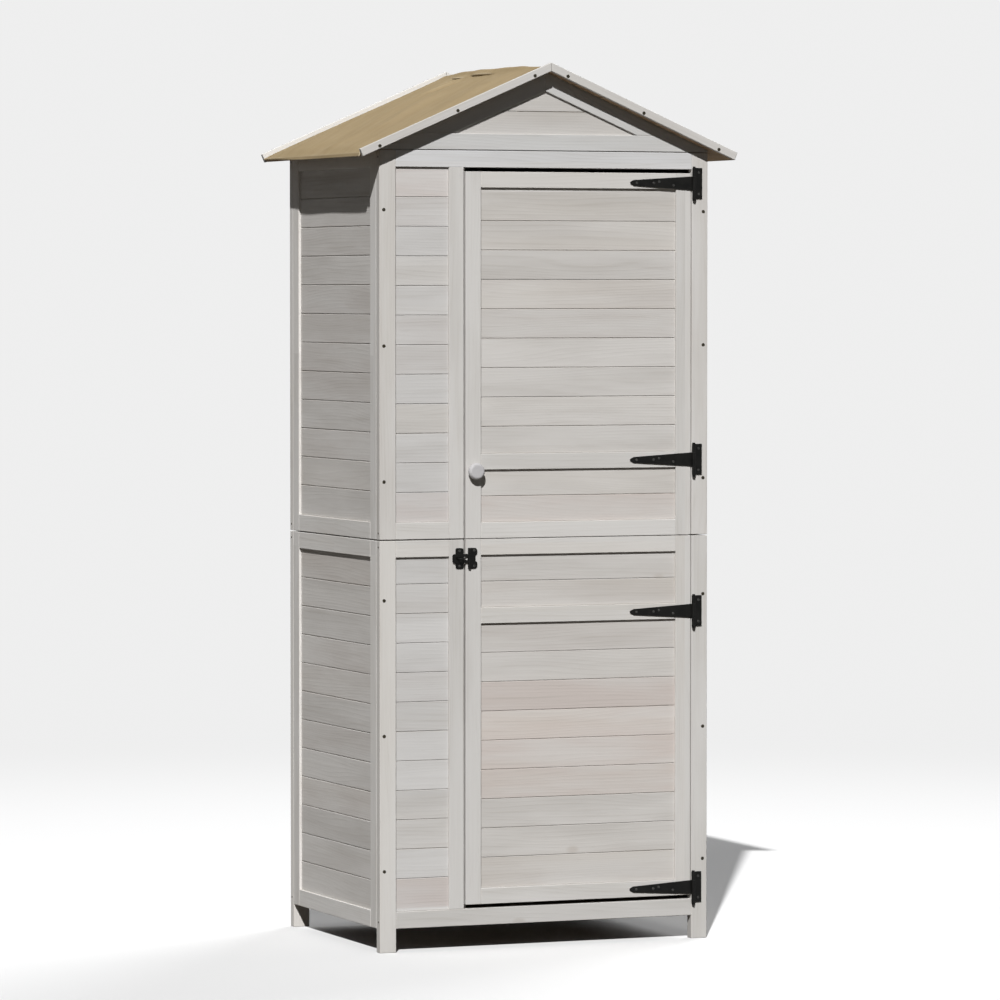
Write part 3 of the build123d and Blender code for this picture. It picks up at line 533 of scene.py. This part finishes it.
def wood_colour(shader, marks, member, tones):
    """The wash, thin in patches, with each mark laid over it in turn."""
    pinker, tanner, lighter = shader.parts_of(member)
    streaks = marks["streaks"]
    patches = marks["patches"]
    colour = shader.mix(shader.spread(patches, low=0.35, high=0.72), tones["pale"], tones["thin"])
    in_patches = shader.spread(patches, low=0.30, high=0.62)
    pink = shader.times(shader.spread(pinker, low=0.45, high=1.0), in_patches)
    layers = [(pink, PINKNESS, "pink")]
    if "rosy" in marks:
        uneven = shader.spread(patches, low=0.34, high=0.64, to_low=0.45, to_high=1.25)
        layers.append((shader.times(marks["rosy"], uneven), BLUSH, "rose"))
    in_figure = shader.spread(marks["figure"], low=0.35, high=0.65)
    tan = shader.times(shader.spread(tanner, low=0.55, high=1.0), in_figure)
    lines = shader.times(marks["rings"], shader.spread(streaks, low=0.30, high=0.75))
    lines = shader.times(lines, shader.spread(patches, low=0.36, high=0.70))
    edges = shader.edges(EDGE_RADIUS, low=0.02, high=0.22)
    layers += [
        (tan, TANNESS, "tan"),
        (lines, RING_LINES, "line"),
        (shader.spread(streaks, low=0.48, high=0.80), STREAK_LINES, "line"),
        (marks["flecks"], PORE_FLECKS, "line"),
        (marks["knots"], KNOT_TONE, "knot"),
        (shader.times(edges, shader.spread(streaks, low=0.42, high=0.62)), EDGE_WEAR, "worn"),
    ]
    for mask, strength, tone in layers:
        colour = shader.mix(shader.times(mask, strength), colour, tones[tone])
    value = shader.plus(shader.times(lighter, MEMBER_RANGE), MEMBER_DARKEST)
    return shader.mix(1.0, colour, shader.vector(value, value, value), "MULTIPLY")


def wood(name, along, cells, seed, tones, turned=None, rosy=()):
    """Planed softwood under a thin wash.

    turned gives another way for the grain and a mask of the members that have it. rosy gives the heights of
    the boards that show heartwood.
    """
    shader = Shader(name)
    place = shader.place()
    member = member_number(shader, place, cells, seed)
    grain = grain_frame(shader, place, along)
    if turned:
        other, mask = turned
        grain = shader.mix_vector(mask(shader, place), grain, grain_frame(shader, place, other))
    marks = wood_marks(shader, shader.moved(grain, shader.scaled(member, MEMBER_SHIFT)))
    if rosy:
        marks["rosy"] = at_heights(shader, place, rosy)
    low, high = tones["roughness"]
    shader.set(Base_Color=wood_colour(shader, marks, member, tones))
    shader.set(Roughness=shader.spread(marks["streaks"], 0.25, 0.75, low, high))
    shader.set(Specular_IOR_Level=WOOD_SPECULAR)
    raised = shader.times(marks["streaks"], STREAK_RELIEF)
    raised = shader.plus(raised, shader.times(marks["rings"], RING_RELIEF))
    relief = shader.minus(raised, shader.times(marks["flecks"], PORE_RELIEF))
    shader.bump(relief, WOOD_BUMP, WOOD_RELIEF)
    return shader.material


def black_iron():
    """Pressed steel under a thin black coat, rubbed on its edges."""
    shader = Shader("black_iron")
    place = shader.place()
    grit = shader.noise(place, IRON_GRIT_SCALE, detail=3.0, roughness=0.6)
    cloud = shader.noise(place, IRON_CLOUD_SCALE, detail=3.0)
    colour = shader.mix(shader.spread(cloud, low=0.3, high=0.7), IRON_TONES["coat"], IRON_TONES["thin"])
    edges = shader.edges(radius=0.0009, low=0.03, high=0.30)
    rubbed = shader.times(edges, shader.spread(grit, low=0.40, high=0.65))
    colour = shader.mix(shader.times(rubbed, 0.55), colour, IRON_TONES["rubbed"])
    shader.set(Base_Color=colour, Specular_IOR_Level=0.11)
    shader.set(Roughness=shader.spread(cloud, low=0.25, high=0.75, to_low=0.40, to_high=0.58))
    shader.bump(grit, strength=0.22, distance=0.0003)
    return shader.material


def blackened_screw():
    """Black screws whose coat is thin in patches, with a metal sheen; their tones are paler than the iron's,
    a painted highlight on the heads.
    """
    shader = Shader("blackened_screw")
    cloud = shader.noise(shader.place(), FITTING_SCREW_SCALE, detail=3.0)
    thin = shader.spread(cloud, low=0.35, high=0.70)
    colour = shader.mix(thin, FITTING_SCREW_TONES_PAINTED_HIGHLIGHT["coat"], FITTING_SCREW_TONES_PAINTED_HIGHLIGHT["thin"])
    shader.set(Base_Color=colour, Metallic=0.35)
    shader.set(Roughness=shader.spread(cloud, low=0.3, high=0.7, to_low=0.32, to_high=0.55))
    return shader.material


def screw_steel():
    """Yellow zinc on countersunk screws, dulled by the weather."""
    shader = Shader("screw_steel")
    cloud = shader.noise(shader.place(), SCREW_SCALE, detail=3.0)
    colour = shader.mix(shader.spread(cloud, low=0.35, high=0.7), SCREW_TONES["zinc"], SCREW_TONES["dull"])
    shader.set(Base_Color=colour, Metallic=0.10, Specular_IOR_Level=0.18)
    shader.set(Roughness=shader.spread(cloud, low=0.3, high=0.7, to_low=0.50, to_high=0.70))
    return shader.material


def roofing_felt():
    """Khaki felt with a fine nap, rain streaks down the slope and paler colour along its sharpest crests."""
    shader = Shader("roofing_felt")
    place = shader.place()
    x, y, _ = shader.parts_of(place)
    lean = shader.times(shader.maths("ABSOLUTE", x), FELT_STREAK_LEAN)
    streak = shader.vector(x, shader.plus(y, lean), 0.0)
    nap = shader.noise(place, FELT_NAP_SCALE)
    mottle = shader.noise(streak, FELT_MOTTLE_SCALE, detail=4.0, roughness=0.6)
    stain = shader.noise(streak, FELT_STAIN_SCALE, detail=3.0, roughness=0.55)
    crest = shader.add("ShaderNodeNewGeometry").outputs["Pointiness"]
    colour = shader.mix(shader.spread(mottle, low=0.3, high=0.7), FELT_TONES["light"], FELT_TONES["dark"])
    colour = shader.mix(shader.spread(stain, low=0.45, high=0.75, to_high=0.40), colour, FELT_TONES["stain"])
    colour = shader.mix(shader.spread(nap, low=0.52, high=0.75, to_high=0.30), colour, FELT_TONES["nap"])
    # Paler colour along the sharpest crests, picked out by pointiness.
    rubbed = shader.spread(crest, low=0.510, high=0.570, to_high=0.75)
    colour = shader.mix(rubbed, colour, FELT_TONES["crest"])
    shader.set(Base_Color=colour, Specular_IOR_Level=0.03)
    shader.set(Roughness=shader.spread(mottle, low=0.3, high=0.7, to_low=0.78, to_high=0.92))
    shader.bump(nap, strength=0.35, distance=0.0004)
    return shader.material


# Dressing of the solids
def dress(material, *names):
    for name in names:
        node = NODES[name]
        if not node.material_slots:
            node.data.materials.append(material)
        for slot in node.material_slots:
            slot.material = material


def first_edge(name, above=0.0):
    """Lower edge of the second board in a field, where its regular pitch starts."""
    levels = sorted({round(v.co.z, 4) for v in NODES[name].data.vertices})
    lowest = min(level for level in levels if level > above)
    return min(level for level in levels if level > lowest + LEAST_FIRST_BOARD)


def board_cells(name):
    """Cells that tell the boards of a node apart. A door half has two fields, with a rail between them."""
    before = CELLS_BELOW_FIELD * BOARD_PITCH
    cells = {"z": (first_edge(name) - before, BOARD_PITCH)}
    if name in DOOR_MIDDLE_RAILS:
        height = DOOR_MIDDLE_RAILS[name]
        cells["split"] = {"z": (height, first_edge(name, height) - before)}
    return cells


def stiles_mask(shader, place):
    """1 on the two stiles of a side frame, whose grain runs up."""
    low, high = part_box("left_side_frame_lower")
    middle = (low.y + high.y) / 2
    half = (high.y - low.y) / 2 - STILE_WIDTH
    out = shader.maths("ABSOLUTE", shader.minus(shader.parts_of(place)[1], middle))
    return shader.maths("GREATER_THAN", out, half)


def gable_rail_mask(shader, place):
    """1 on the level rail under a gable's two rakes."""
    boards_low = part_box("front_gable_boards")[0]
    return shader.maths("LESS_THAN", shader.parts_of(place)[2], boards_low.z)


def dress_uprights():
    cells = {"x": UPRIGHT_WIDTHS, "y": BOTH_SIDES, "z": ABOVE_AND_BELOW_SEAM}
    front = wood("washed_uprights", "z", cells, UPRIGHT_SEED, FRAME_WASH)
    rear = wood("washed_rear_uprights", "z", cells, UPRIGHT_SEED, SIDE_FRAME_WASH_PAINTED_LIGHT)
    for half in HALVES:
        dress(front, f"front_left_leg_{half}", f"front_right_leg_{half}")
        dress(rear, f"rear_left_leg_{half}", f"rear_right_leg_{half}")
        dress(front, f"door_jamb_{half}", f"door_stiles_{half}")
    dress(front, "door_stop", "joining_cleats")
    dress(wood("washed_left_leg", "z", cells, UPRIGHT_SEED, LEFT_LEG_WASH), "front_left_leg_lower")


def dress_rails():
    cells = {"y": BOTH_SIDES, "z": RAIL_HEIGHTS}
    rails = wood("washed_rails", "x", cells, RAIL_SEED, FRAME_WASH)
    dress(rails, "front_panel_rails", "back_rails", "door_battens", "door_rails_lower", "door_rails_upper")
    dress(wood("washed_top_rail", "x", cells, RAIL_SEED, TOP_RAIL_WASH), "front_top_rail")
    dress(wood("washed_bottom_rail", "x", cells, RAIL_SEED, BOTTOM_RAIL_WASH), "front_bottom_rail")


def dress_frames():
    """Side and gable frames, whose members run two ways, and the barge strips."""
    cells = {"x": BOTH_SIDES, "y": BOTH_SIDES, "z": SIDE_RAIL_HEIGHTS}
    turned = ("z", stiles_mask)
    sides = wood("washed_side_frames", "y", cells, SIDE_FRAME_SEED, SIDE_FRAME_WASH_PAINTED_LIGHT, turned)
    for half in HALVES:
        dress(sides, f"left_side_frame_{half}", f"right_side_frame_{half}")
    cells = {"y": BOTH_SIDES}
    turned = ("x", gable_rail_mask)
    gables = wood("washed_gables", "slope", cells, GABLE_FRAME_SEED, GABLE_FRAME_WASH_PAINTED_SHADE, turned)
    dress(gables, "front_gable_frame", "rear_gable_frame")
    cells = {"x": BOTH_SIDES, "y": BOTH_SIDES}
    dress(wood("washed_barges", "slope", cells, BARGE_SEED, FRAME_WASH), "front_barge_boards")
    dress(wood("fresh_barges", "slope", cells, REAR_BARGE_SEED, FRESH_WASH), "rear_barge_boards")


def dress_boards():
    """Each field of boards gets wood of its own, and so does the knob."""
    seed = FIRST_BOARD_SEED
    for field, along, wash in BOARD_FIELDS:
        for half in HALVES:
            node = f"{field}_{half}"
            rosy = ROSY_BOARDS.get(node, ())
            dress(wood(f"washed_{node}", along, board_cells(node), seed, wash, rosy=rosy), node)
            seed += SEED_STEP
    for node in ("front_gable_boards", "rear_gable_boards"):
        dress(wood(f"washed_{node}", "x", board_cells(node), seed, GABLE_BOARD_WASH_PAINTED_SHADE), node)
        seed += SEED_STEP
    dress(wood("washed_knob", "y", {}, seed, KNOB_WASH), "door_knob")


def dress_bare_wood():
    deck = wood("bare_deck", "y", {"x": DECK_BOARDS}, DECK_SEED, BARE)
    dress(deck, "roof_deck_left", "roof_deck_right", "roof_battens", "floor_bearers")
    dress(wood("bare_floor", "x", {"y": FLOOR_BOARDS}, FLOOR_SEED, BARE), "floor_boards")


def dress_metal(steel):
    iron = black_iron()
    dress(iron, "hinge_leaves", "hinge_pins", "hinge_straps")
    dress(iron, "hasp_staple", "hasp_hinge_plate", "hasp_pin", "hasp_strap")
    dress(blackened_screw(), "frame_fitting_screws", "door_fitting_screws")
    dress(steel, "leg_screws", "barge_screws", "knob_screw")


def add_object(name, data):
    item = bpy.data.objects.new(name, data)
    bpy.context.scene.collection.objects.link(item)
    return item


def add_piece(name, mesh, material):
    """Turns a finished bmesh into an object of the scene."""
    data = bpy.data.meshes.new(name)
    mesh.to_mesh(data)
    mesh.free()
    data.materials.append(material)
    return add_object(name, data)


# Screw crosses
def screw_shells(name):
    """Corners of each screw in a node, one list for a screw."""
    mesh = bmesh.new()
    mesh.from_mesh(NODES[name].data)
    bmesh.ops.remove_doubles(mesh, verts=mesh.verts, dist=WELD_DISTANCE)
    found = set()
    shells = []
    for start in mesh.verts:
        if start in found:
            continue
        found.add(start)
        shell = [start]
        for corner in shell:
            near = {link.other_vert(corner) for link in corner.link_edges} - found
            found |= near
            shell += near
        shells.append([corner.co.copy() for corner in shell])
    mesh.free()
    return shells


def head_of(shell):
    """Middle of a screw's head, the direction out of the wood and the radius of the head."""
    lows = Vector(min(corner[i] for corner in shell) for i in range(3))
    highs = Vector(max(corner[i] for corner in shell) for i in range(3))
    size = highs - lows
    along = max(range(3), key=lambda i: size[i])
    middle = (lows + highs) / 2
    out = Vector((0.0, 0.0, 0.0))
    at_high = [corner for corner in shell if corner[along] > highs[along] - SCREW_END]
    wide = max((corner - middle).length ** 2 - (corner[along] - middle[along]) ** 2 for corner in at_high)
    head_at_high = wide > SCREW_END ** 2
    out[along] = 1.0 if head_at_high else -1.0
    middle[along] = highs[along] if head_at_high else lows[along]
    radius = max(size[i] for i in range(3) if i != along) / 2
    return middle, out, radius


def build_cross_floors(material):
    """Dark plugs that floor the crosses in the screw heads, where the wood would show instead."""
    mesh = bmesh.new()
    for name in ("leg_screws", "barge_screws"):
        for shell in screw_shells(name):
            middle, out, radius = head_of(shell)
            turn = out.to_track_quat("Z", "Y").to_matrix().to_4x4()
            turn.translation = middle - out * (CROSS_DEPTH + PLUG_THICK / 2)
            reach = CROSS_REACH * radius
            sizes = {"radius1": reach, "radius2": reach, "depth": PLUG_THICK}
            bmesh.ops.create_cone(mesh, cap_ends=True, segments=PLUG_SIDES, matrix=turn, **sizes)
    floors = add_piece("screw_cross_floors", mesh, material)
    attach(floors, "shed")


# Felt
def smooth(low, high, value):
    """0 at low, 1 at high and a soft step between."""
    share = min(1.0, max(0.0, (value - low) / (high - low)))
    return share * share * (3.0 - 2.0 * share)


def bell(value, width):
    return math.exp(-((value / width) ** 2))


def crease(y, down, at_y, at_down, length, width, height, turn):
    """Height of one crease at a place on the slope."""
    dy = y - at_y
    fall = down - at_down
    run = fall * math.cos(turn) + dy * math.sin(turn)
    side = dy * math.cos(turn) - fall * math.sin(turn)
    end = max(0.0, 1.0 - (run / (CREASE_FADE * length)) ** 2)
    return height * end * end * bell(side, width)


def uneven_height(side, y, down):
    """Height of the felt's slow and fine waves, which are lowest where it is held."""
    along = (y + WIDE_LEAN * down) * WIDE_SCALE[0] + side * WIDE_SEED[0]
    wide = noise(Vector((along, down * WIDE_SCALE[1], WIDE_SEED[1])))
    fine = noise(Vector((y * FINE_SCALE[0], down * FINE_SCALE[1] + side * FINE_SEED[0], FINE_SEED[1])))
    loose = smooth(0.0, HELD_AT_ENDS, FELT_HALF_LENGTH - abs(y)) * smooth(0.0, HELD_AT_RIDGE, down)
    return (TIGHT_HEIGHT + LOOSE_HEIGHT * loose) * (0.5 + 0.5 * wide) + FINE_HEIGHT * (0.5 + 0.5 * fine)


def felt_offsets(side, y, down, reach):
    """How far the felt stands off the deck, and how far it is pushed down the slope."""
    crease_y = y if side < 0 else RIGHT_SLOPE_TURN - y
    lift = uneven_height(side, y, down)
    for item in CREASES:
        lift += crease(crease_y, down, *item)
    lift = max(lift, 0.0) * smooth(0.0, HELD_AT_EAVE, reach - down)
    slack = smooth(*RIDGE_SLACK_FRONT, y) * smooth(*RIDGE_SLACK_REAR, y)
    ridge = FELT_RIDGE_LOW + (FELT_RIDGE_HIGH - FELT_RIDGE_LOW) * slack
    lift += ridge * bell(down, FELT_RIDGE_SPREAD)
    shift = 0.0
    for at_y, at_down, length, overhang, height in ROLLS:
        run = (crease_y - at_y) / length
        end = max(0.0, 1.0 - run * run) * (1.0 - ROLL_LEAN + ROLL_LEAN * run)
        above = bell(down - at_down + ROLL_WIDTH, ROLL_WIDTH)
        below = bell(down - at_down - ROLL_WIDTH, ROLL_WIDTH)
        lift += height * end * above
        lift -= ROLL_TUCK * min(height, lift) * end * below
        shift += overhang * end * (above - below)
    return lift, shift


def felt_rows(reach):
    """Places across the sheet: (side, distance down the slope, share of the turned-down lip)."""
    half = []
    for i in range(1, FELT_STEPS_DOWN + 1):
        share = i / FELT_STEPS_DOWN
        half.append((reach * (FELT_EVEN_ROWS * share + (1.0 - FELT_EVEN_ROWS) * share * share), 0.0))
    half += [(reach, (i + 1) / FELT_STEPS_LIP) for i in range(FELT_STEPS_LIP)]
    left = [(-1.0, down, lip) for down, lip in reversed(half)]
    right = [(1.0, down, lip) for down, lip in half]
    return left + [(1.0, 0.0, 0.0)] + right


def felt_point(side, y, down, lip, reach):
    """One point of the sheet's underside."""
    along = Vector((math.cos(ROOF_ANGLE), -math.sin(ROOF_ANGLE)))
    up = Vector((math.sin(ROOF_ANGLE), math.cos(ROOF_ANGLE)))
    apex = Vector((0.0, DECK_APEX + (DECK_THICK + FELT_CLEAR) / up.y))
    lift, shift = felt_offsets(side, y, down, reach)
    crest = max(0.0, 1.0 - down / FELT_RIDGE_RADIUS)
    spot = apex + along * (down + shift) + up * lift
    spot.x -= (lift * up.x + shift * along.x) * crest
    spot.y -= FELT_RIDGE_RADIUS / 2 * math.tan(ROOF_ANGLE) * crest * crest
    drop = FELT_LIP_FRONT + (FELT_LIP_REAR - FELT_LIP_FRONT) * smooth(*LIP_SHORTENS, y)
    spot.y -= drop * lip
    spot.x += (LIP_FLARE * drop + LIP_WAVE_HEIGHT * math.sin(y * LIP_WAVES)) * lip
    return (side * spot.x, y, spot.y)


def felt_mesh(low_y, high_y, reach):
    """The underside of the sheet as one grid, from eave to eave."""
    mesh = bmesh.new()
    ys = [low_y + (high_y - low_y) * j / FELT_STEPS_ALONG for j in range(FELT_STEPS_ALONG + 1)]
    grid = []
    for side, down, lip in felt_rows(reach):
        grid.append([mesh.verts.new(felt_point(side, y, down, lip, reach)) for y in ys])
    for near, far in zip(grid, grid[1:]):
        for j in range(FELT_STEPS_ALONG):
            mesh.faces.new((near[j], far[j], far[j + 1], near[j + 1]))
    bmesh.ops.recalc_face_normals(mesh, faces=mesh.faces)
    return mesh


def build_felt(material):
    """One sheet over the ridge, slack along it and creased, turned down at the eaves."""
    low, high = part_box("roof_felt")
    eave_x = high.x - FELT_THICK * math.cos(ROOF_ANGLE)
    reach = eave_x / math.cos(ROOF_ANGLE)
    felt = add_piece("felt_sheet", felt_mesh(low.y, high.y, reach), material)
    faces = felt.data.polygons
    faces.foreach_set("use_smooth", [True] * len(faces))
    if faces[len(faces) // 2].normal.z < 0:
        felt.data.flip_normals()
    solid = felt.modifiers.new("thickness", "SOLIDIFY")
    solid.thickness = FELT_THICK
    solid.offset = 1.0
    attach(felt, "shed")
    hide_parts("roof_felt")


# Studio
def seen_directly(tree):
    """1 for rays of the camera, of reflections and through glass, and 0 for light that bounces."""
    path = tree.nodes.new("ShaderNodeLightPath")
    seen = path.outputs["Is Camera Ray"]
    for ray in ("Is Glossy Ray", "Is Transmission Ray"):
        either = tree.nodes.new("ShaderNodeMath")
        either.operation = "MAXIMUM"
        tree.links.new(seen, either.inputs[0])
        tree.links.new(path.outputs[ray], either.inputs[1])
        seen = either.outputs[0]
    return seen


def build_floor():
    """A pale floor that fades into the backdrop and keeps the object's shadow."""
    bpy.ops.mesh.primitive_circle_add(vertices=FLOOR_SIDES, radius=FLOOR_RADIUS, fill_type="NGON")
    floor = bpy.context.object
    floor.name = "studio_floor"
    shader = Shader("studio_floor")
    x, y, _ = shader.parts_of(shader.place())
    away = shader.maths("SQRT", shader.plus(shader.times(x, x), shader.times(y, y)))
    seen = seen_directly(shader.tree)
    tone = shader.mix(seen, rgb(*FLOOR_BOUNCE), grey(FLOOR_TONE))
    shader.set(Base_Color=tone, Roughness=0.9, Specular_IOR_Level=0.1)
    glow = shader.add("ShaderNodeEmission")
    glow.inputs["Color"].default_value = grey(BACKDROP)
    fade = shader.times(shader.spread(away, FLOOR_FADE_START, FLOOR_FADE_END), seen)
    blend = shader.add("ShaderNodeMixShader")
    for socket, source in zip(blend.inputs, (fade, shader.surface.outputs["BSDF"], glow.outputs[0])):
        shader.join(source, socket)
    shader.join(blend.outputs[0], shader.out.inputs["Surface"])
    floor.data.materials.append(shader.material)


def build_world():
    """Even fill light, seen by the camera and by reflections as a pale backdrop."""
    world = bpy.data.worlds.new("studio")
    bpy.context.scene.world = world
    world.use_nodes = True
    tree = world.node_tree
    tree.nodes.clear()
    fill = tree.nodes.new("ShaderNodeBackground")
    fill.inputs["Color"].default_value = rgb(*FILL_COLOUR)
    fill.inputs["Strength"].default_value = FILL_STRENGTH
    backdrop = tree.nodes.new("ShaderNodeBackground")
    backdrop.inputs["Color"].default_value = grey(BACKDROP)
    choose = tree.nodes.new("ShaderNodeMixShader")
    for socket, source in zip(choose.inputs, (seen_directly(tree), fill.outputs[0], backdrop.outputs[0])):
        tree.links.new(source, socket)
    out = tree.nodes.new("ShaderNodeOutputWorld")
    tree.links.new(choose.outputs[0], out.inputs["Surface"])


def build_lamp(name, direction, strength, angle):
    lamp = bpy.data.lights.new(name, "SUN")
    lamp.energy = strength
    lamp.angle = angle
    item = add_object(name, lamp)
    item.rotation_euler = Vector(direction).to_track_quat("Z", "Y").to_euler()
    item.location = Vector(direction) * LAMP_DISTANCE


def build_camera():
    camera = bpy.data.cameras.new("camera")
    camera.lens = CAMERA_LENS
    camera.sensor_width = CAMERA_SENSOR
    camera.sensor_fit = "HORIZONTAL"
    camera.clip_end = CAMERA_REACH
    item = add_object("camera", camera)
    item.location = CAMERA_PLACE
    item.rotation_euler = (math.pi / 2 + CAMERA_PITCH, 0.0, -CAMERA_YAW)
    bpy.context.scene.camera = item


dress_uprights()
dress_rails()
dress_frames()
dress_boards()
dress_bare_wood()
steel = screw_steel()
dress_metal(steel)
build_cross_floors(steel)
build_felt(roofing_felt())
build_floor()
build_world()
build_lamp("key", KEY_DIRECTION, KEY_STRENGTH, KEY_ANGLE)
build_lamp("back_fill", BACK_DIRECTION, BACK_STRENGTH, BACK_ANGLE)
build_camera()
bpy.context.scene.view_settings.view_transform = "Standard"
